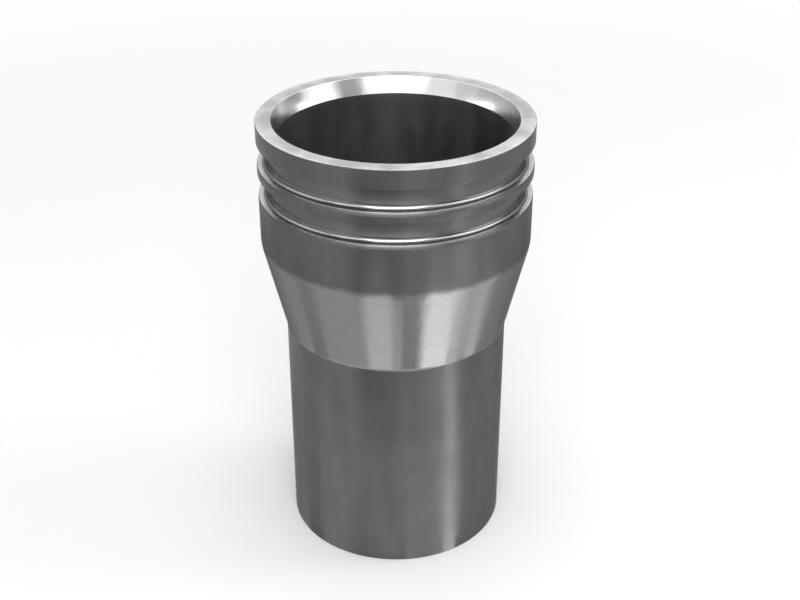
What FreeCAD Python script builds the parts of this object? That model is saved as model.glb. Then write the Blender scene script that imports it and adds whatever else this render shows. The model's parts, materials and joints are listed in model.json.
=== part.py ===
"""Injector sleeve: a steel tube that seals a fuel injector in a cylinder head.

One turned piece. It stands on its narrow end with its axis on +Z, and the
origin is the centre of the ring-shaped foot. From the top down it has a plain
faced ring with a steep lead-in, two seal-ring grooves round a wide body, a
taper, and a plain narrow barrel. All sizes are in millimetres and degrees.
"""
import FreeCAD, Part
import Sketcher
import math
import os
from collections import namedtuple

NODE = "injector_sleeve"

# Driving sizes. Depths are measured down from the top face, and walls outwards
# from the bore that they surround.
SIZES = {
    "overall_length": 66.8,
    "bore_diameter": 33.8,
    "body_wall": 3.1,
    "nozzle_diameter": 27.2,
    "barrel_wall": 3.1,
    "taper_depth": 18.5,
    "taper_angle": 13.5,
    "taper_crown": 6.0,
    "taper_root": 0.5,
    "neck_drop": 0.5,
    "flange_thickness": 2.85,
    "groove_width": 3.4,
    "groove_depth": 1.55,
    "groove_corner": 0.7,
    "ridge_width": 1.4,
    "lead_width": 0.85,
    "lead_depth": 2.5,
    "foot_lead": 0.5,
    "edge_break": 0.12,
}
GROOVE_COUNT = 2

# Radii and heights that follow from the driving sizes. The neck inside runs
# beside the taper outside, at the same angle.
TOP = "sizes.overall_length"
BORE_RADIUS = "(sizes.bore_diameter / 2)"
BODY_RADIUS = f"({BORE_RADIUS} + sizes.body_wall)"
NOZZLE_RADIUS = "(sizes.nozzle_diameter / 2)"
BARREL_RADIUS = f"({NOZZLE_RADIUS} + sizes.barrel_wall)"
TAPER_TOP = f"({TOP} - sizes.taper_depth)"
TAPER_SLOPE = "tan(sizes.taper_angle * 1 deg)"
TAPER_FOOT = f"({TAPER_TOP} - ({BODY_RADIUS} - {BARREL_RADIUS}) / {TAPER_SLOPE})"
NECK_TOP = f"({TAPER_TOP} - sizes.neck_drop)"
NECK_FOOT = f"({NECK_TOP} - ({BORE_RADIUS} - {NOZZLE_RADIUS}) / {TAPER_SLOPE})"
LEAD_SLOPE = "sizes.lead_width / sizes.lead_depth"
FLOOR_RADIUS = f"({BODY_RADIUS} - sizes.groove_depth)"
GROOVE_TOP = f"({TOP} - sizes.flange_thickness)"
GROOVE_PITCH = "(sizes.groove_width + sizes.ridge_width)"
LOWEST_LIP = f"{GROOVE_TOP} - sizes.groove_width - {GROOVE_COUNT - 1} * {GROOVE_PITCH}"

# How far a cutting outline runs past the face that it opens through.
OVERRUN = 1.0
# Two lengths nearer than this are taken as equal.
TOLERANCE = 1e-5

# A corner of an outline: its radius, its height and, where it is rounded, its blend.
Corner = namedtuple("Corner", "name radius height blend", defaults=(None,))


def size_sheet(doc):
    """The driving sizes as named cells."""
    sheet = doc.addObject("Spreadsheet::Sheet", "sizes")
    for row, (name, value) in enumerate(SIZES.items(), start=1):
        sheet.set(f"A{row}", name)
        sheet.set(f"B{row}", str(value))
        sheet.setAlias(f"B{row}", name)
    doc.recompute()


def blend_ends(corner, before, after, blend):
    """The two tangent points and the centre of the arc that rounds a corner."""
    inward = (corner - before).normalize()
    onward = (after - corner).normalize()
    reach = blend * math.tan(inward.getAngle(onward) / 2)
    start = corner - inward * reach
    end = corner + onward * reach
    left = FreeCAD.Vector(-inward.y, inward.x, 0)
    turn = math.copysign(1, inward.cross(onward).z)
    return start, end, start + left * blend * turn, turn


def round_corner(sketch, line_in, line_out, place, ends, corner):
    """Draw the arc of a rounded corner, tangent to the lines on both sides.

    The corner itself stays as a construction point on both lines.
    """
    start, end, centre, turn = ends
    first, last = (start, end) if turn > 0 else (end, start)
    first_angle = math.atan2(first.y - centre.y, first.x - centre.x)
    last_angle = math.atan2(last.y - centre.y, last.x - centre.x) % (2 * math.pi)
    if last_angle < first_angle:
        last_angle += 2 * math.pi
    circle = Part.Circle(centre, FreeCAD.Vector(0, 0, 1), (start - centre).Length)
    arc = sketch.addGeometry(Part.ArcOfCircle(circle, first_angle, last_angle), False)
    arc_start, arc_end = (1, 2) if turn > 0 else (2, 1)
    sketch.addConstraint(Sketcher.Constraint("Tangent", line_in, 2, arc, arc_start))
    sketch.addConstraint(Sketcher.Constraint("Tangent", arc, arc_end, line_out, 1))
    name_size(sketch, corner.name + "_blend", corner.blend, "Radius", arc, circle.Radius)
    point = sketch.addGeometry(Part.Point(place), True)
    sketch.addConstraint(Sketcher.Constraint("PointOnObject", point, 1, line_in))
    sketch.addConstraint(Sketcher.Constraint("PointOnObject", point, 1, line_out))
    return point


def name_size(sketch, label, rule, *constraint):
    """Add a dimension, name it and tie it to the driving sizes."""
    number = sketch.addConstraint(Sketcher.Constraint(*constraint))
    sketch.renameConstraint(number, label)
    sketch.setExpression("Constraints." + label, rule)


def half_section(body, name, corners):
    """A closed outline on the body's XZ plane, with x as radius and y as height."""
    plane = next(item for item in body.Origin.OriginFeatures if item.Role == "XZ_Plane")
    sketch = body.newObject("Sketcher::SketchObject", name)
    sketch.AttachmentSupport = (plane, "")
    sketch.MapMode = "FlatFace"

    places = []
    for corner in corners:
        radius = float(sketch.evalExpression(corner.radius))
        height = float(sketch.evalExpression(corner.height))
        places.append(FreeCAD.Vector(radius, height, 0))
    ends = []
    for index, corner in enumerate(corners):
        if corner.blend is None:
            ends.append((places[index], places[index]))
        else:
            after = places[(index + 1) % len(places)]
            blend = float(sketch.evalExpression(corner.blend))
            ends.append(blend_ends(places[index], places[index - 1], after, blend))

    for index in range(len(corners)):
        line_end = ends[(index + 1) % len(ends)][0]
        sketch.addGeometry(Part.LineSegment(ends[index][1], line_end), False)
    for index, corner in enumerate(corners):
        line_in = (index - 1) % len(corners)
        if corner.blend is None:
            sketch.addConstraint(Sketcher.Constraint("Coincident", line_in, 2, index, 1))
            point = index
        else:
            point = round_corner(sketch, line_in, index, places[index], ends[index], corner)
        name_size(sketch, corner.name + "_radius", corner.radius, "DistanceX", point, 1, places[index].x)
        name_size(sketch, corner.name + "_height", corner.height, "DistanceY", point, 1, places[index].y)
    return sketch


def turned(body, kind, name, outline):
    """Turn a half section all the way round the body's own axis."""
    feature = body.newObject("PartDesign::" + kind, name)
    feature.Profile = outline
    feature.ReferenceAxis = (outline, ["V_Axis"])
    feature.Angle = 360
    return feature


def turned_outside(doc, body):
    """The outside: narrow barrel, taper with its rounded crown, and wide body."""
    outline = half_section(body, "outside_outline", [
        Corner("foot_centre", "0", "0"),
        Corner("foot_edge", BARREL_RADIUS, "0"),
        Corner("taper_foot", BARREL_RADIUS, TAPER_FOOT, "sizes.taper_root"),
        Corner("taper_top", BODY_RADIUS, TAPER_TOP, "sizes.taper_crown"),
        Corner("top_edge", BODY_RADIUS, TOP),
        Corner("top_centre", "0", TOP),
    ])
    blank = turned(body, "Revolution", "turned_outside", outline)
    doc.recompute()
    return blank


def bored_inside(doc, body):
    """The inside: steep lead-in, upper bore, neck that follows the taper, lower bore."""
    outline = half_section(body, "inside_outline", [
        Corner("axis_low", "0", f"-{OVERRUN}"),
        Corner("foot_lead_low", f"{NOZZLE_RADIUS} + sizes.foot_lead + {OVERRUN}", f"-{OVERRUN}"),
        Corner("foot_lead_top", NOZZLE_RADIUS, "sizes.foot_lead"),
        Corner("neck_foot", NOZZLE_RADIUS, NECK_FOOT),
        Corner("neck_top", BORE_RADIUS, NECK_TOP),
        Corner("lead_in_low", BORE_RADIUS, f"{TOP} - sizes.lead_depth"),
        Corner("lead_in_top", f"{BORE_RADIUS} + sizes.lead_width + {LEAD_SLOPE} * {OVERRUN}",
               f"{TOP} + {OVERRUN}"),
        Corner("axis_top", "0", f"{TOP} + {OVERRUN}"),
    ])
    bore = turned(body, "Groove", "bored_inside", outline)
    doc.recompute()
    return bore


def seal_grooves(doc, body):
    """Seal-ring grooves with a ridge between, each rounded where floor and lower side meet."""
    beyond = f"{BODY_RADIUS} + {OVERRUN}"
    lower_side = f"{GROOVE_TOP} - sizes.groove_width"
    outline = half_section(body, "groove_outline", [
        Corner("floor_low", FLOOR_RADIUS, lower_side, "sizes.groove_corner"),
        Corner("lip_low", beyond, lower_side),
        Corner("lip_high", beyond, GROOVE_TOP),
        Corner("floor_high", FLOOR_RADIUS, GROOVE_TOP),
    ])
    first = turned(body, "Groove", "upper_seal_groove", outline)
    doc.recompute()
    row = body.newObject("PartDesign::LinearPattern", "seal_groove_row")
    row.Originals = [first]
    row.Direction = (outline, ["V_Axis"])
    row.Reversed = True
    row.Mode = "Spacing"
    row.Occurrences = GROOVE_COUNT
    row.setExpression("Offset", GROOVE_PITCH)
    body.Tip = row
    doc.recompute()
    return row


def ring_edges(shape, radius, lowest, highest):
    """Names of the round edges of one radius, between two heights."""
    names = []
    for number, edge in enumerate(shape.Edges, start=1):
        if not isinstance(edge.Curve, Part.Circle):
            continue
        height = edge.Curve.Center.z
        between = lowest - TOLERANCE <= height <= highest + TOLERANCE
        if between and abs(edge.Curve.Radius - radius) < TOLERANCE:
            names.append(f"Edge{number}")
    return names


def broken_edges(doc, body, base):
    """Every sharp outer edge loses a hair: the top, the lips of the grooves and the foot."""
    top = float(base.evalExpression(TOP))
    lowest_lip = float(base.evalExpression(LOWEST_LIP))
    body_radius = float(base.evalExpression(BODY_RADIUS))
    barrel_radius = float(base.evalExpression(BARREL_RADIUS))
    lips = ring_edges(base.Shape, body_radius, lowest_lip, top)
    foot = ring_edges(base.Shape, barrel_radius, 0, 0)
    chamfer = body.newObject("PartDesign::Chamfer", "edge_breaks")
    chamfer.Base = (base, lips + foot)
    chamfer.setExpression("Size", "sizes.edge_break")
    doc.recompute()
    return chamfer


def check_model(doc, body, steps):
    """Stop if a feature failed, the shape is unsound or a cut removed nothing."""
    for item in doc.Objects:
        if "Invalid" in item.State or "Error" in item.State:
            raise RuntimeError(f"{item.Name} did not build: {item.State}")
    if body.Shape.isNull() or not body.Shape.isValid() or len(body.Shape.Solids) != 1:
        raise RuntimeError(f"{body.Label} is not one sound solid")
    for before, after in zip(steps, steps[1:]):
        if not after.Shape.Volume < before.Shape.Volume:
            raise RuntimeError(f"{after.Name} removed nothing")


doc = FreeCAD.newDocument("sleeve")
size_sheet(doc)
sleeve = doc.addObject("PartDesign::Body", NODE)
sleeve.Label = NODE
sleeve.Placement = FreeCAD.Placement()

blank = turned_outside(doc, sleeve)
bored = bored_inside(doc, sleeve)
grooved = seal_grooves(doc, sleeve)
finished = broken_edges(doc, sleeve, grooved)
sleeve.Tip = finished
doc.recompute()

steps = [blank, bored, grooved, finished]
check_model(doc, sleeve, steps)
for step in steps:
    print(f"{step.Name}: {step.Shape.Volume:.1f} mm3")

os.makedirs("parts", exist_ok=True)
sleeve.Shape.exportStep(f"parts/{sleeve.Label}.step")
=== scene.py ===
# %% [markdown]
# # An injector sleeve, turned from one piece of steel
# The real sleeve is a thin tube with a wide upper end for the injector and a narrow
# lower end for its nozzle. Everything on it was made on a lathe, so every shape here
# is a ring round one axis, and every finish follows the path of a cutting tool.

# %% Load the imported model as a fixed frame
import bpy
import json
import math
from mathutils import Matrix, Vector


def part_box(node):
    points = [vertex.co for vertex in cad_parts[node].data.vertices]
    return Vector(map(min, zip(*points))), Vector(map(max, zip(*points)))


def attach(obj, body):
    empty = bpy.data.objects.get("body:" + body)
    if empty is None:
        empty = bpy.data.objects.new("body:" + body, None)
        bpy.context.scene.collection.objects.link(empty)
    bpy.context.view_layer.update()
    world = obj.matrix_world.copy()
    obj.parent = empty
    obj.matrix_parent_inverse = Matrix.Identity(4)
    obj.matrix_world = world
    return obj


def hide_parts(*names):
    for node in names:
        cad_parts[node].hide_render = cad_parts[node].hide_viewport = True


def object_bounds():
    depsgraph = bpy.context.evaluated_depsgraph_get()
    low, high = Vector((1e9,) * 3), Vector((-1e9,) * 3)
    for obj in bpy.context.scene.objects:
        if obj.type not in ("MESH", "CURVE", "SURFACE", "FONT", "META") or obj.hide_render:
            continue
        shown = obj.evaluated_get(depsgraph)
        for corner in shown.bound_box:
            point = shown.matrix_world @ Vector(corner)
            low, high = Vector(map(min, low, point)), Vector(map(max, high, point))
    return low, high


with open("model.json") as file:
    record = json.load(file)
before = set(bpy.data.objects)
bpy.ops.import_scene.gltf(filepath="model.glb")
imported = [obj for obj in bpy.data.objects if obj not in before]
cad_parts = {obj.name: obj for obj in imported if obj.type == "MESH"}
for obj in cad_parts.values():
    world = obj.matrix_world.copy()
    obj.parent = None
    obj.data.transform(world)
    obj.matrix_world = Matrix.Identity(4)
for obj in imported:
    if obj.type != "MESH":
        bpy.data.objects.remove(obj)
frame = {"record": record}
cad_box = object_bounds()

MM = 0.001
MICRON = 0.001 * MM
NODE = "injector_sleeve"
print("CAD box in mm:", [[round(c / MM, 2) for c in corner] for corner in cad_box])

# %% [markdown]
# ## The camera
# The photograph looks down on the sleeve by about 29 degrees from quite near, which is
# why the barrel looks slimmer towards the floor. The lens and the place were worked out
# from the round edges of the sleeve, which show as ellipses.

# %% Camera at the photograph's angle
CAMERA_PLACE = Vector((0.61, -168.53, 128.92)) * MM
CAMERA_TILT = 61.394
CAMERA_LENS = 56.319

bpy.ops.object.select_all(action="DESELECT")
bpy.ops.object.camera_add(location=CAMERA_PLACE, rotation=(math.radians(CAMERA_TILT), 0, 0))
camera = bpy.context.object
camera.name = "photo_camera"
camera.data.lens = CAMERA_LENS
camera.data.sensor_width = 36
camera.data.clip_start = 0.01
bpy.context.scene.camera = camera
print("camera stands", round(CAMERA_PLACE.length, 3), "m from the foot")

# %% [markdown]
# ## Sizes
# The sizes that another part would care about stand in the record as mounts, so they are
# read from there. The top ring, the grooves and the ridge between them, the taper's angle,
# the lead-in's width and the small rounds are named here.

# %% Sizes from the record
mounts = {mount["name"]: mount for mount in frame["record"]["mounts"]}


def mount_radius(name):
    return mounts[name]["dims"]["r_mm"] * MM


def mount_span(name):
    """Lowest and highest point of a mount along the axis."""
    middle = mounts[name]["pos_m"][2]
    half = mounts[name]["dims"]["length_mm"] * MM / 2
    return middle - half, middle + half


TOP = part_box(NODE)[1].z
BODY_RADIUS = mount_radius("body_seat")
BARREL_RADIUS = mount_radius("barrel_seat")
BORE_RADIUS = mount_radius("injector_bore")
NOZZLE_RADIUS = mount_radius("nozzle_bore")
TAPER_ROOT, TAPER_CROWN = mount_span("barrel_seat")[1], mount_span("body_seat")[0]
NECK_TOP, LEAD_FOOT = mount_span("injector_bore")
FOOT_LEAD, NECK_FOOT = mount_span("nozzle_bore")
print("radii in mm:", [round(r / MM, 2) for r in (BODY_RADIUS, BARREL_RADIUS, BORE_RADIUS, NOZZLE_RADIUS)])

# %% Sizes of the turned details
FLANGE = 2.85 * MM
GROOVE_WIDTH = 3.4 * MM
GROOVE_DEPTH = 1.55 * MM
GROOVE_COUNT = 2
RIDGE = 1.4 * MM
LEAD_WIDTH = 0.85 * MM
TAPER_ANGLE = math.radians(13.5)
CROWN_ROUND = 6.0 * MM
ROOT_ROUND = 0.5 * MM
GROOVE_ROUND = 0.75 * MM
GROOVE_UPPER_ROUND = 0.3 * MM
LIP_HEIGHT = 0.4 * MM
LIP_DEPTH = 0.08 * MM
LIP_ROUND = 10 * LIP_DEPTH
FOOT_ROUND = 0.2 * MM
EDGE_ROUND = 0.08 * MM
LIP_EDGE_ROUND = EDGE_ROUND / 2

# %% [markdown]
# ## Helpers for node trees
# Each finish below is a small graph of nodes. The first helper adds one node, sets its
# properties, and takes each input either as a value or as a link from another node. The
# others are short names for what the finishes use most.

# %% Node helpers
def add_node(tree, kind, inputs=None, **settings):
    node = tree.nodes.new(kind)
    for name, value in settings.items():
        setattr(node, name, value)
    for name, value in (inputs or {}).items():
        if isinstance(value, bpy.types.NodeSocket):
            tree.links.new(value, node.inputs[name])
        else:
            node.inputs[name].default_value = value
    return node


def maths(tree, operation, *values):
    return add_node(tree, "ShaderNodeMath", dict(enumerate(values)), operation=operation).outputs[0]


def remap(tree, value, from_low, from_high, to_low=0.0, to_high=1.0, smooth=False):
    inputs = {0: value, 1: from_low, 2: from_high, 3: to_low, 4: to_high}
    kind = "SMOOTHSTEP" if smooth else "LINEAR"
    return add_node(tree, "ShaderNodeMapRange", inputs, interpolation_type=kind).outputs[0]


def grey(value):
    return (value, value, value, 1.0)


def from_axis(tree, place):
    """Distance of a place from the upright axis through the origin."""
    across = add_node(tree, "ShaderNodeVectorMath", {0: place, 1: (1, 1, 0)}, operation="MULTIPLY")
    length = add_node(tree, "ShaderNodeVectorMath", {0: across.outputs[0]}, operation="LENGTH")
    return length.outputs["Value"]


def blank_material(name):
    material = bpy.data.materials.new(name)
    material.use_nodes = True
    material.node_tree.nodes.clear()
    return material, material.node_tree


# %% [markdown]
# ## The studio
# Bare steel has hardly any colour of its own: what the eye sees is the room in it. So
# the room comes before the steel. It is white round the horizon and dimmer overhead.
# The softboxes light the floor alone, and give the sleeve its soft shadow there. What
# the metal mirrors is the room, the floor and the cards that come further down.

# %% World: white round the horizon, dimmer overhead
CEILING_LIGHT = 0.6
WHITE_UP_TO = math.sin(math.radians(8))
DIM_FROM = math.sin(math.radians(38))

world = bpy.data.worlds.new("studio")
bpy.context.scene.world = world
world.use_nodes = True
world.node_tree.nodes.clear()
sky = world.node_tree
direction = add_node(sky, "ShaderNodeTexCoord").outputs["Generated"]
upward = add_node(sky, "ShaderNodeSeparateXYZ", {0: direction}).outputs["Z"]
strength = remap(sky, upward, WHITE_UP_TO, DIM_FROM, 1.0, CEILING_LIGHT, smooth=True)
light = add_node(sky, "ShaderNodeBackground", {"Color": grey(1.0), "Strength": strength})
add_node(sky, "ShaderNodeOutputWorld", {"Surface": light.outputs[0]})
bpy.context.scene.view_settings.view_transform = "Standard"

# %% Softboxes, each aimed at the middle of the sleeve
AIM = (cad_box[0] + cad_box[1]) / 2


def towards(azimuth, elevation=0.0):
    """Direction by azimuth, 0 towards the camera and + to its right, and elevation."""
    around, above = math.radians(azimuth), math.radians(elevation)
    return Vector((math.sin(around) * math.cos(above), -math.cos(around) * math.cos(above), math.sin(above)))


SOFTBOX_DISTANCE = 0.60


def softbox(name, azimuth, elevation, width, height, radiance):
    """An area lamp that metal doesn't mirror. Its power follows from its size and radiance."""
    spot = AIM + towards(azimuth, elevation) * SOFTBOX_DISTANCE
    bpy.ops.object.light_add(type="AREA", location=spot)
    lamp = bpy.context.object
    lamp.name = name
    lamp.rotation_euler = towards(azimuth, elevation).to_track_quat("Z", "Y").to_euler()
    lamp.data.shape = "RECTANGLE"
    lamp.data.size = width
    lamp.data.size_y = height
    lamp.data.energy = radiance * math.pi * width * height
    lamp.visible_glossy = False


softbox("key_behind_camera", azimuth=0, elevation=40, width=0.36, height=0.52, radiance=2.8)
softbox("overhead", azimuth=0, elevation=88, width=0.26, height=0.30, radiance=3.0)
softbox("fill_right", azimuth=96, elevation=34, width=0.20, height=0.22, radiance=4.0)

# %% Floor: near the sleeve it takes the shadow, further out it is plain white light
FLOOR_RADIUS = 2.0
FLOOR_COLOUR = 0.92
PAPER_UP_TO = 0.10
WHITE_FROM = 0.36

bpy.ops.mesh.primitive_circle_add(vertices=96, radius=FLOOR_RADIUS, fill_type="NGON", location=(0, 0, 0))
floor = bpy.context.object
floor.name = "studio_floor"
paper, tree = blank_material("floor_paper")
place = add_node(tree, "ShaderNodeTexCoord").outputs["Object"]
distance = add_node(tree, "ShaderNodeVectorMath", {0: place}, operation="LENGTH").outputs["Value"]
far = remap(tree, distance, PAPER_UP_TO, WHITE_FROM, smooth=True)
matt = add_node(tree, "ShaderNodeBsdfDiffuse", {"Color": grey(FLOOR_COLOUR)})
glow = add_node(tree, "ShaderNodeEmission", {"Color": grey(1.0), "Strength": 1.0})
sweep = add_node(tree, "ShaderNodeMixShader", {0: far, 1: matt.outputs[0], 2: glow.outputs[0]})
back = add_node(tree, "ShaderNodeNewGeometry").outputs["Backfacing"]
clear = add_node(tree, "ShaderNodeBsdfTransparent")
face = add_node(tree, "ShaderNodeMixShader", {0: back, 1: sweep.outputs[0], 2: clear.outputs[0]})
add_node(tree, "ShaderNodeOutputMaterial", {"Surface": face.outputs[0]})
floor.data.materials.append(paper)

# %% [markdown]
# ## Cards round the sleeve
# The side of an upright bright tube mirrors the table in front of it, hardly ever the
# lamps. A photographer lays light and dark cards there, just outside the picture, and each
# one becomes an upright band in the metal. Most of the cards here are laid where the
# camera sees the table in one stretch of wall. The others stand upright round the sleeve,
# for the lead-in and the grooves. The cards show only in reflections: they cast no shadow
# and light nothing, and no camera sees them.

# %% One card, shown only in reflections
CARD_ROWS = 4


def card(name, radiance, place, columns=10, feather=0.2):
    """A bent card with soft ends. place(across, up) gives its point for shares of 0 to 1."""
    bpy.ops.mesh.primitive_grid_add(x_subdivisions=columns, y_subdivisions=CARD_ROWS, size=1)
    sheet = bpy.context.object
    sheet.name = name
    for vertex in sheet.data.vertices:
        vertex.co = place(vertex.co.x + 0.5, vertex.co.y + 0.5)
    paint, tree = blank_material(name)
    across = add_node(tree, "ShaderNodeUVMap", uv_map=sheet.data.uv_layers.active.name)
    across = add_node(tree, "ShaderNodeSeparateXYZ", {0: across.outputs[0]}).outputs["X"]
    from_end = maths(tree, "MINIMUM", across, maths(tree, "SUBTRACT", 1.0, across))
    shown = remap(tree, from_end, 0.0, feather, smooth=True)
    glow = add_node(tree, "ShaderNodeEmission", {"Color": grey(1.0), "Strength": radiance})
    clear = add_node(tree, "ShaderNodeBsdfTransparent")
    soft = add_node(tree, "ShaderNodeMixShader", {0: shown, 1: clear.outputs[0], 2: glow.outputs[0]})
    add_node(tree, "ShaderNodeOutputMaterial", {"Surface": soft.outputs[0]})
    sheet.data.materials.append(paint)
    sheet.visible_camera = False
    sheet.visible_diffuse = False
    sheet.visible_shadow = False


def between(low, high, share):
    return low + (high - low) * share


# %% Upright cards: azimuths, elevations, radiance
SCREEN_DISTANCE = 0.45
SCREENS = {
    "window_low": (-31, 31, 10, 28, 1.5),
    "window": (-33, 33, 28, 66, 7.0),
    "light_right": (61, 90, -4, 20, 1.8),
    "window_right": (50, 116, 31, 54, 4.8),
    "hoop_left": (-118, -66, 31, 54, 2.6),
    "hoop_front_left": (-66, -30, 35, 54, 4.5),
    "hoop_front_right": (30, 52, 35, 54, 4.3),
    "hoop_behind_left": (-168, -114, 32, 56, 1.8),
    "hoop_behind_right": (112, 168, 32, 56, 1.6),
    "flag_front": (-30, 26, -5, 10, 0.5),
    "flag_front_right": (33, 58, -4, 27, 0.3),
    "flag_high_right": (56, 77, 20, 29, 0.25),
    "flag_right": (98, 156, -4, 20, 0.25),
    "flag_left": (-86, -60, -4, 27, 0.65),
    "flag_far_left": (-124, -84, -4, 20, 0.42),
    "flag_behind_left": (-160, -122, -4, 20, 0.3),
    "behind": (166, 194, 18, 52, 0.42),
}

for name, (left, right, low, high, radiance) in SCREENS.items():
    def stand(across, up):
        return AIM + towards(between(left, right, across), between(low, high, up)) * SCREEN_DISTANCE

    card("screen_" + name, radiance, stand, columns=24, feather=0.1)

# %% Where a wall mirrors a level below it
WALLS = {
    "barrel": (BARREL_RADIUS, 0, BARREL_RADIUS, TAPER_ROOT),
    "taper": (BARREL_RADIUS, TAPER_ROOT, BODY_RADIUS, TAPER_CROWN),
    "body": (BODY_RADIUS, TAPER_CROWN, BODY_RADIUS, TOP),
}


def mirrored_spot(wall, azimuth, share, level):
    """Spot at a level that the camera sees in a wall, share of the way up that wall."""
    low_radius, low, high_radius, high = WALLS[wall]
    lean = math.atan2(high_radius - low_radius, high - low)
    outward = towards(azimuth)
    normal = outward * math.cos(lean) - Vector((0, 0, math.sin(lean)))
    point = outward * between(low_radius, high_radius, share)
    point.z = between(low, high, share)
    ray = (point - CAMERA_PLACE).normalized()
    bounce = ray - 2 * ray.dot(normal) * normal
    return point - bounce * ((point.z - level) / bounce.z)


# %% Cards below the walls: the stretch of wall that mirrors each one, radiance
# The cards for the taper hang at its foot, where only the taper mirrors them. A reach is
# the stretch of wall, in shares of its height, that its cards fill: below 0 and above 1
# they go on past it. Each card lies a little above the last, so that no two share a plane.
LEVELS = {"barrel": 0, "taper": TAPER_ROOT - 0.3 * MM, "body": 0}
REACH = {"barrel": (0.0, 1.6), "taper": (0.0, 1.7), "body": (-1.2, 2.2)}
WALL_CARDS = [
    ("barrel", -88, -62, 0.75),
    ("barrel", -64, -55, 1.15),
    ("barrel", -45, -25, 1.1),
    ("barrel", 4, 22, 1.12),
    ("barrel", 19, 28, 1.3),
    ("barrel", 25, 34.5, 2.9),
    ("barrel", 36, 56, 0.83),
    ("barrel", 58, 88, 0.7),
    ("body", -88, -72, 0.8),
    ("body", -75, -56, 1.25),
    ("body", -56, -42, 0.88),
    ("body", -46, -17, 0.85),
    ("body", -21, 6, 0.15),
    ("body", 4, 26, 0.5),
    ("body", 28, 48, 0.65),
    ("body", 53, 63, 1.2),
    ("taper", -80, -60, 0.35),
    ("taper", -63, -55, 0.55),
    ("taper", -57, -46, 0.75),
    ("taper", -46, -33, 0.55),
    ("taper", -36, -13, 0.82),
    ("taper", -14, 0, 1.4),
    ("taper", 2, 11, 0.6),
    ("taper", 10.5, 27, 2.45),
    ("taper", 24, 31, 1.5),
    ("taper", 30, 37, 1.1),
    ("taper", 35, 42, 1.4),
    ("taper", 42, 57, 0.6),
    ("taper", 54, 80, 0.42),
]
CARD_LIFT = 0.02 * MM

for number, (wall, left, right, radiance) in enumerate(WALL_CARDS, start=1):
    low, high = REACH[wall]

    def lay(across, up):
        spot = mirrored_spot(wall, between(left, right, across), between(low, high, up), LEVELS[wall])
        return spot + Vector((0, 0, CARD_LIFT * number))

    card(f"card_{number}_{wall}", radiance, lay)

# %% [markdown]
# ## The outline of the wall
# A lathe part is drawn once, as half of its section, and then spun round its axis.

# %% Corners of the outline, before any of them is rounded
# The mounts end where the taper's rounds begin, so each of its corners lies further on, by
# this share of the round's radius.
corner_share = math.tan(TAPER_ANGLE / 2)
taper_top = TAPER_CROWN - CROWN_ROUND * corner_share
taper_foot = TAPER_ROOT + ROOT_ROUND * corner_share
floor_radius = BODY_RADIUS - GROOVE_DEPTH
lips = []
height = TOP - FLANGE
for groove in range(GROOVE_COUNT):
    lips.append((height, height - GROOVE_WIDTH))
    height -= GROOVE_WIDTH + RIDGE

# Each corner is its radius, its height, its rounding and how many faces round it.
corners = [
    (NOZZLE_RADIUS, FOOT_LEAD, EDGE_ROUND, 2),
    (NOZZLE_RADIUS + FOOT_LEAD, 0, EDGE_ROUND, 2),
    (BARREL_RADIUS, 0, FOOT_ROUND, 4),
    (BARREL_RADIUS, taper_foot, ROOT_ROUND, 3),
    (BODY_RADIUS, taper_top, CROWN_ROUND, 8),
]
for upper, lower in reversed(lips):
    corners += [
        (BODY_RADIUS, lower - LIP_HEIGHT, LIP_ROUND, 5),
        (BODY_RADIUS - LIP_DEPTH, lower, LIP_EDGE_ROUND, 3),
        (floor_radius, lower, GROOVE_ROUND, 10),
        (floor_radius, upper, GROOVE_UPPER_ROUND, 5),
        (BODY_RADIUS, upper, EDGE_ROUND, 4),
    ]
corners += [
    (BODY_RADIUS, TOP, EDGE_ROUND, 4),
    (BORE_RADIUS + LEAD_WIDTH, TOP, EDGE_ROUND, 3),
    (BORE_RADIUS, LEAD_FOOT, EDGE_ROUND, 2),
    (BORE_RADIUS, NECK_TOP, ROOT_ROUND, 2),
    (NOZZLE_RADIUS, NECK_FOOT, ROOT_ROUND, 2),
]
print(len(corners), "corners, grooves between", [[round(z / MM, 2) for z in pair] for pair in lips])

# %% [markdown]
# ## Drawing and spinning it
# The pen is one vertex. Extruding it from corner to corner leaves the outline behind.
# A vertex bevel then rounds each corner as a tool nose would, and a spin round the axis
# makes the solid wall. A spin keeps every ring perfectly round, which matters here,
# because a mirror-like surface shows the smallest flat.

# %% Draw the outline
SAME_PLACE = MICRON

bpy.ops.object.select_all(action="DESELECT")
bpy.ops.mesh.primitive_plane_add(size=MM)
sleeve = bpy.context.object
sleeve.name = "sleeve_finish"
bpy.ops.object.mode_set(mode="EDIT")
bpy.context.tool_settings.mesh_select_mode = (True, False, False)
bpy.ops.mesh.select_all(action="SELECT")
bpy.ops.mesh.merge(type="CENTER")
bpy.ops.transform.translate(value=(corners[0][0], 0, corners[0][1]))
for here, there in zip(corners, corners[1:] + corners[:1]):
    step = (there[0] - here[0], 0, there[1] - here[1])
    bpy.ops.mesh.extrude_region_move(TRANSFORM_OT_translate={"value": step})
bpy.ops.mesh.select_all(action="SELECT")
bpy.ops.mesh.remove_doubles(threshold=SAME_PLACE)
bpy.ops.object.mode_set(mode="OBJECT")
print("outline:", len(sleeve.data.vertices), "points")

# %% Round its corners
def outline_corner(index):
    return Vector((corners[index % len(corners)][0], 0, corners[index % len(corners)][1]))


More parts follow.
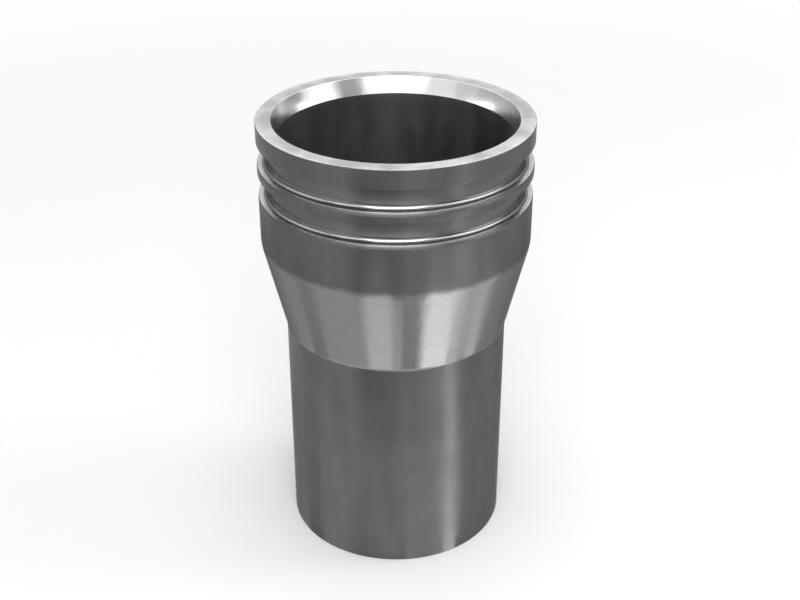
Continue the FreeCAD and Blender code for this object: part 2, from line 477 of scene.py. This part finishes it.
for index, (radius, height, blend, faces) in enumerate(corners):
    place = outline_corner(index)
    turn = (place - outline_corner(index - 1)).angle(outline_corner(index + 1) - place)
    for edge in sleeve.data.edges:
        edge.select = False
    for vertex in sleeve.data.vertices:
        vertex.select = (vertex.co - place).length < SAME_PLACE
    bpy.ops.object.mode_set(mode="EDIT")
    bpy.ops.mesh.bevel(affect="VERTICES", offset=blend * math.tan(turn / 2), segments=faces)
    bpy.ops.object.mode_set(mode="OBJECT")
print("rounded outline:", len(sleeve.data.vertices), "points")

# %% Cut its long straight runs into shorter ones
LONGEST_RUN = 1.5 * MM


def run_length(edge):
    first, last = (sleeve.data.vertices[i].co for i in edge.vertices)
    return (first - last).length


bpy.context.tool_settings.mesh_select_mode = (False, True, False)
while max(run_length(edge) for edge in sleeve.data.edges) > LONGEST_RUN:
    for vertex in sleeve.data.vertices:
        vertex.select = False
    for edge in sleeve.data.edges:
        edge.select = run_length(edge) > LONGEST_RUN
    bpy.ops.object.mode_set(mode="EDIT")
    bpy.ops.mesh.subdivide(number_cuts=1)
    bpy.ops.object.mode_set(mode="OBJECT")
print("outline with its runs cut:", len(sleeve.data.vertices), "points")

# %% Spin it round the axis
AROUND = 288

bpy.ops.object.mode_set(mode="EDIT")
bpy.ops.mesh.select_all(action="SELECT")
bpy.ops.mesh.spin(steps=AROUND, angle=2 * math.pi, center=(0, 0, 0), axis=(0, 0, 1))
bpy.ops.mesh.select_all(action="SELECT")
bpy.ops.mesh.remove_doubles(threshold=SAME_PLACE)
bpy.ops.mesh.normals_make_consistent(inside=False)
bpy.ops.object.mode_set(mode="OBJECT")
print("spun wall:", len(sleeve.data.vertices), "points,", len(sleeve.data.polygons), "faces")

# %% Shade it smooth and keep the flats flat
SHARP_FROM = math.radians(35)
WEIGHT_OF_LARGE_FACES = 80

bpy.ops.object.shade_smooth_by_angle(angle=SHARP_FROM)
weighted = sleeve.modifiers.new("flats_stay_flat", "WEIGHTED_NORMAL")
weighted.weight = WEIGHT_OF_LARGE_FACES
weighted.keep_sharp = True
bpy.ops.object.modifier_apply(modifier=weighted.name)

# %% [markdown]
# ## Turning marks and film
# A lathe tool leaves a fine spiral that reads as rings. Noise that is stretched a long way
# round the axis and squeezed along it gives the same broken rings. Height plus radius
# grows along every face of this outline, walls and flat ends alike, so one group serves
# them all. A second group gives soft uneven patches, as left by an oily rag, and a third
# the few bright chips that the top's outer edge takes when parts knock together.

# %% Turning marks as a node group
def new_group(name, inputs, outputs):
    group = bpy.data.node_groups.new(name, "ShaderNodeTree")
    for label, value in inputs.items():
        socket = group.interface.new_socket(label, in_out="INPUT", socket_type="NodeSocketFloat")
        socket.default_value = value
    for label in outputs:
        group.interface.new_socket(label, in_out="OUTPUT", socket_type="NodeSocketFloat")
    return group, add_node(group, "NodeGroupInput").outputs


marks_group, given = new_group("turning_marks", {"Lines per mm": 8.0, "Length": 60.0}, ["Height"])
place = add_node(marks_group, "ShaderNodeTexCoord").outputs["Object"]
axes = add_node(marks_group, "ShaderNodeSeparateXYZ", {0: place}).outputs
along = maths(marks_group, "ADD", axes["Z"], from_axis(marks_group, place))
lines = maths(marks_group, "MULTIPLY", given["Lines per mm"], 1 / MM)
stretched = add_node(marks_group, "ShaderNodeCombineXYZ", {
    "X": maths(marks_group, "MULTIPLY", axes["X"], given["Length"]),
    "Y": maths(marks_group, "MULTIPLY", axes["Y"], given["Length"]),
    "Z": maths(marks_group, "MULTIPLY", along, lines),
})
rings = add_node(marks_group, "ShaderNodeTexNoise", {
    "Vector": stretched.outputs[0], "Scale": 1.0, "Detail": 3.0, "Roughness": 0.6,
})
add_node(marks_group, "NodeGroupOutput", {"Height": rings.outputs["Fac"]})

# %% Uneven film as a node group
THIN_FILM = 0.35
THICK_FILM = 0.65

film_group, given = new_group("uneven_film", {"Patches per mm": 0.2, "Upright": 1.0}, ["Mask"])
place = add_node(film_group, "ShaderNodeTexCoord").outputs["Object"]
axes = add_node(film_group, "ShaderNodeSeparateXYZ", {0: place}).outputs
scale = maths(film_group, "MULTIPLY", given["Patches per mm"], 1 / MM)
squeezed = add_node(film_group, "ShaderNodeCombineXYZ", {
    "X": maths(film_group, "MULTIPLY", axes["X"], scale),
    "Y": maths(film_group, "MULTIPLY", axes["Y"], scale),
    "Z": maths(film_group, "MULTIPLY", maths(film_group, "MULTIPLY", axes["Z"], scale), given["Upright"]),
})
clouds = add_node(film_group, "ShaderNodeTexNoise", {
    "Vector": squeezed.outputs[0], "Scale": 1.0, "Detail": 4.0, "Roughness": 0.55,
})
mask = remap(film_group, clouds.outputs["Fac"], THIN_FILM, THICK_FILM, smooth=True)
add_node(film_group, "NodeGroupOutput", {"Mask": mask})

# %% Chips in the top's outer edge as a node group
NEARNESS_WEIGHT = 0.1
CHIP_BORDER = 0.03

chips_group, given = new_group("edge_chips", {"Chips per mm": 1.3, "Reach mm": 0.7, "Spared": 0.58}, ["Mask"])
place = add_node(chips_group, "ShaderNodeTexCoord").outputs["Object"]
inward = maths(chips_group, "SUBTRACT", from_axis(chips_group, place), BODY_RADIUS)
level = add_node(chips_group, "ShaderNodeSeparateXYZ", {0: place}).outputs["Z"]
drop = maths(chips_group, "SUBTRACT", level, TOP)
squares = [maths(chips_group, "MULTIPLY", value, value) for value in (inward, drop)]
off_edge = maths(chips_group, "SQRT", maths(chips_group, "ADD", *squares))
reach = maths(chips_group, "MULTIPLY", given["Reach mm"], MM)
near = maths(chips_group, "SUBTRACT", 1.0, maths(chips_group, "DIVIDE", off_edge, reach))
per_metre = maths(chips_group, "MULTIPLY", given["Chips per mm"], 1 / MM)
specks = add_node(chips_group, "ShaderNodeTexNoise", {"Vector": place, "Scale": per_metre, "Detail": 2.0})
hard = maths(chips_group, "SUBTRACT", specks.outputs["Fac"], given["Spared"])
chipped = maths(chips_group, "MINIMUM", maths(chips_group, "MULTIPLY", near, NEARNESS_WEIGHT), hard)
add_node(chips_group, "NodeGroupOutput", {"Mask": remap(chips_group, chipped, 0.0, CHIP_BORDER)})

# %% [markdown]
# ## The finishes
# All of them are the same steel, so all are fully metallic. They differ in how the
# surface was cut, and in colour: dark on the turned outside and in the bore, light on
# the faced ends, in the lead-in, on the groove sides and on the ground taper. That
# difference in colour is painted light and shade, after what each face mirrors.

# %% One steel finish
QUARTER_TURN = 0.25


def use_group(tree, group, **values):
    node = add_node(tree, "ShaderNodeGroup", node_tree=group)
    for name, value in values.items():
        node.inputs[name.replace("_", " ")].default_value = value
    return node.outputs


def mix_grey(tree, share, low, high):
    """A grey between two others. Each is a number or the output of an earlier mix."""
    low, high = (value if isinstance(value, bpy.types.NodeSocket) else grey(value) for value in (low, high))
    return add_node(tree, "ShaderNodeMix", {0: share, 6: low, 7: high}, data_type="RGBA").outputs[2]


def mix_shades(tree, share, colour, shades):
    """A colour that strays between two shares of itself."""
    darker, lighter = shades
    return mix_grey(tree, share, colour * darker, colour * lighter)


def steel_shader(tree, colour, roughness, height, rim, anisotropy):
    """Brushed metal whose grain runs round the sleeve's axis. Its height is in microns."""
    bump = add_node(tree, "ShaderNodeBump", {"Height": height, "Distance": MICRON})
    tangent = add_node(tree, "ShaderNodeTangent", direction_type="RADIAL", axis="Z")
    shader = add_node(tree, "ShaderNodeBsdfPrincipled", {
        "Base Color": colour,
        "Metallic": 1.0,
        "Roughness": roughness,
        "Specular Tint": grey(rim),
        "Anisotropic": anisotropy,
        "Anisotropic Rotation": QUARTER_TURN,
        "Tangent": tangent.outputs[0],
        "Normal": bump.outputs[0],
    })
    add_node(tree, "ShaderNodeOutputMaterial", {"Surface": shader.outputs[0]})


def surface_height(tree, lines, marks_depth, waves_depth):
    """Height in microns of marks and slow waves together, and the marks' pattern, 0 to 1."""
    rings = use_group(tree, marks_group, Lines_per_mm=lines)["Height"]
    waves = use_group(tree, film_group, Patches_per_mm=0.8, Upright=0.7)["Mask"]
    high_rings = maths(tree, "MULTIPLY", rings, marks_depth)
    return maths(tree, "MULTIPLY_ADD", waves, waves_depth, high_rings), rings


finishes = {}
CHIP_COLOUR = 0.95
PLAIN_RIM = 0.75
ROUGHNESS_STRAY = 0.1


def plain_finish(name, colour, shade, roughness, lines, marks, waves, anisotropy):
    """A finish with one colour, which strays by shade, and marks and waves in microns."""
    finishes[name], tree = blank_material(name)
    film = use_group(tree, film_group, Patches_per_mm=0.25, Upright=0.35)["Mask"]
    height, rings = surface_height(tree, lines, marks, waves)
    low = mix_grey(tree, film, colour * (1 - shade), colour)
    high = mix_grey(tree, film, colour, colour * (1 + shade))
    smoothest = roughness * (1 - ROUGHNESS_STRAY)
    roughest = roughness * (1 + ROUGHNESS_STRAY)
    rough = remap(tree, film, 0.0, 1.0, smoothest, roughest)
    grain = use_group(tree, film_group, Patches_per_mm=4.0, Upright=1.0)["Mask"]
    grainy = maths(tree, "MULTIPLY", maths(tree, "ADD", rings, grain), 0.5)
    whole = mix_grey(tree, grainy, low, high)
    chips = use_group(tree, chips_group, Chips_per_mm=1.3, Reach_mm=0.7, Spared=0.58)["Mask"]
    steel_shader(tree, mix_grey(tree, chips, whole, CHIP_COLOUR), rough, height, PLAIN_RIM, anisotropy)


# %% Turned outside, with the ground taper blended into it
# Painted light and shade: the same steel is coloured dark on the turned walls and light on the ground taper,
# after what each face mirrors.
TURNED_COLOUR = 0.13
DULL_SHADES = (0.90, 1.02)
CLEAN_SHADES = (0.98, 1.10)
# Painted light: the groove floors are coloured a little lighter than the walls.
GROOVE_PAINTED_LIGHT_SHADES = (1.04, 1.17)
TAPER_PAINTED_LIGHT_COLOUR = 0.27
LOW_SHADES = (0.94, 1.0)
HIGH_SHADES = (1.0, 1.06)
TURNED_ROUGHNESS = 0.36
GROUND_ROUGHNESS = 0.28
TURNED_RIM = 0.6
TURNED_ANISOTROPY = 0.7
GROUND_EDGE = TAPER_CROWN - 0.6 * MM
ALL_GROUND_BELOW = GROUND_EDGE - 0.4 * MM
ALL_TURNED_ABOVE = GROUND_EDGE + 0.9 * MM
EDGE_WANDERS_BY = 0.35 * MM
TURNED_UP_TO = TAPER_ROOT + 0.16 * MM
GROUND_FROM = TAPER_ROOT + 0.24 * MM
ROOT_WANDERS_BY = 0.25 * MM
IN_GROOVE_FROM = BODY_RADIUS - 0.2 * MM
DEEP_FROM = BODY_RADIUS - 0.5 * MM
GROOVES_ABOVE = TAPER_CROWN + 1 * MM

finishes["turned_outside"], tree = blank_material("turned_outside")
place = add_node(tree, "ShaderNodeTexCoord").outputs["Object"]
height = add_node(tree, "ShaderNodeSeparateXYZ", {0: place}).outputs["Z"]
# The taper's painted light ends in a ragged line under its crown, as its highlight does.
ragged = use_group(tree, film_group, Patches_per_mm=0.3, Upright=1.5)["Mask"]
ragged_height = maths(tree, "MULTIPLY_ADD", ragged, EDGE_WANDERS_BY, height)
below_crown = remap(tree, ragged_height, ALL_GROUND_BELOW, ALL_TURNED_ABOVE, 1.0, 0.0, smooth=True)
# Painted highlight: this noise lets the taper's painted light reach down onto the round at its foot in
# places, as a bright line.
painted_highlight_wobble = use_group(tree, film_group, Patches_per_mm=0.1, Upright=0.5)["Mask"]
root_height = maths(tree, "MULTIPLY_ADD", painted_highlight_wobble, ROOT_WANDERS_BY, height)
above_root = remap(tree, root_height, TURNED_UP_TO, GROUND_FROM)
ground_and_painted_light = maths(tree, "MULTIPLY", below_crown, above_root)
film = use_group(tree, film_group, Patches_per_mm=0.35, Upright=0.15)["Mask"]
smudge = use_group(tree, film_group, Patches_per_mm=0.14, Upright=1.5)["Mask"]
blotch = use_group(tree, film_group, Patches_per_mm=0.9, Upright=1.5)["Mask"]
high_part, rings = surface_height(tree, lines=6.0, marks_depth=0.6, waves_depth=7.0)
dull = mix_shades(tree, film, TURNED_COLOUR, DULL_SHADES)
clean = mix_shades(tree, film, TURNED_COLOUR, CLEAN_SHADES)
# Painted light in the grooves: their floors get the lighter shades, against the shade under the flange and
# the ridge.
sunk = remap(tree, from_axis(tree, place), DEEP_FROM, IN_GROOVE_FROM, 1.0, 0.0)
painted_light_in_groove = maths(tree, "MULTIPLY", sunk, maths(tree, "GREATER_THAN", height, GROOVES_ABOVE))
wall = mix_grey(tree, smudge, dull, clean)
painted_lit_groove_floor = mix_shades(tree, smudge, TURNED_COLOUR, GROOVE_PAINTED_LIGHT_SHADES)
dark = mix_grey(tree, painted_light_in_groove, wall, painted_lit_groove_floor)
# The taper's light colour is painted light. Its blotches and rings are random tone in it.
bright_low = mix_shades(tree, blotch, TAPER_PAINTED_LIGHT_COLOUR, LOW_SHADES)
bright_high = mix_shades(tree, blotch, TAPER_PAINTED_LIGHT_COLOUR, HIGH_SHADES)
bright = mix_grey(tree, rings, bright_low, bright_high)
# The ground taper is smoother, which is real, and coloured lighter, which is painted light.
rough = remap(tree, ground_and_painted_light, 0.0, 1.0, TURNED_ROUGHNESS, GROUND_ROUGHNESS)
colour = mix_grey(tree, ground_and_painted_light, dark, bright)
steel_shader(tree, colour, rough, high_part, TURNED_RIM, TURNED_ANISOTROPY)

# %% The other finishes
# Each has its colour, how far that strays, its roughness, its lines per mm, the depths of
# its turning marks and its waves in microns, and how far its highlights are smeared.
# The colours are painted light and shade on one steel: light on the faced end, the
# lead-in and the groove sides, dark in the bore.
PLAIN_FINISHES = {
    "faced_end": (0.80, 0.14, 0.42, 9.0, 6.0, 0.8, 0.4),
    "ground_lead_in": (0.76, 0.03, 0.20, 5.0, 1.0, 1.0, 0.2),
    "bored_inside": (0.12, 0.05, 0.50, 6.0, 1.0, 1.0, 0.0),
    "groove_corner": (0.19, 0.04, 0.14, 6.0, 0.5, 3.0, 0.0),
    "groove_side": (0.78, 0.10, 0.22, 6.0, 2.0, 2.0, 0.0),
}
for name, values in PLAIN_FINISHES.items():
    plain_finish(name, *values)
for finish in finishes.values():
    sleeve.data.materials.append(finish)

# %% Give each face its finish by its place
TURNED_INWARDS = -0.5
NEARLY_FLAT = 0.9
JUST_RISING = 0.02
END_MARGIN = EDGE_ROUND / 8

order = list(finishes)
corner_radius = floor_radius + GROOVE_ROUND
for face in sleeve.data.polygons:
    outward = Vector((face.center.x, face.center.y, 0))
    radius = outward.length
    height = face.center.z
    leaning = face.normal.dot(outward) / radius
    rising = face.normal.z
    groove = [lower for upper, lower in lips if lower - SAME_PLACE < height < upper + SAME_PLACE]
    low_down = bool(groove) and height < groove[0] + GROOVE_ROUND
    lower_side = rising > NEARLY_FLAT and radius > corner_radius - SAME_PLACE
    if leaning < TURNED_INWARDS:
        finish = "ground_lead_in" if height > LEAD_FOOT - EDGE_ROUND else "bored_inside"
    elif height > TOP - END_MARGIN or height < END_MARGIN:
        finish = "faced_end"
    elif groove and (rising < -NEARLY_FLAT or lower_side):
        finish = "groove_side"
    elif low_down and radius < corner_radius and rising > JUST_RISING:
        finish = "groove_corner"
    else:
        finish = "turned_outside"
    face.material_index = order.index(finish)
for index, name in enumerate(order):
    print(name, sum(face.material_index == index for face in sleeve.data.polygons), "faces")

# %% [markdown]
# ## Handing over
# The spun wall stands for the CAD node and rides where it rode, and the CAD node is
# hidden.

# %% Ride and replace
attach(sleeve, "root")
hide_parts(NODE)
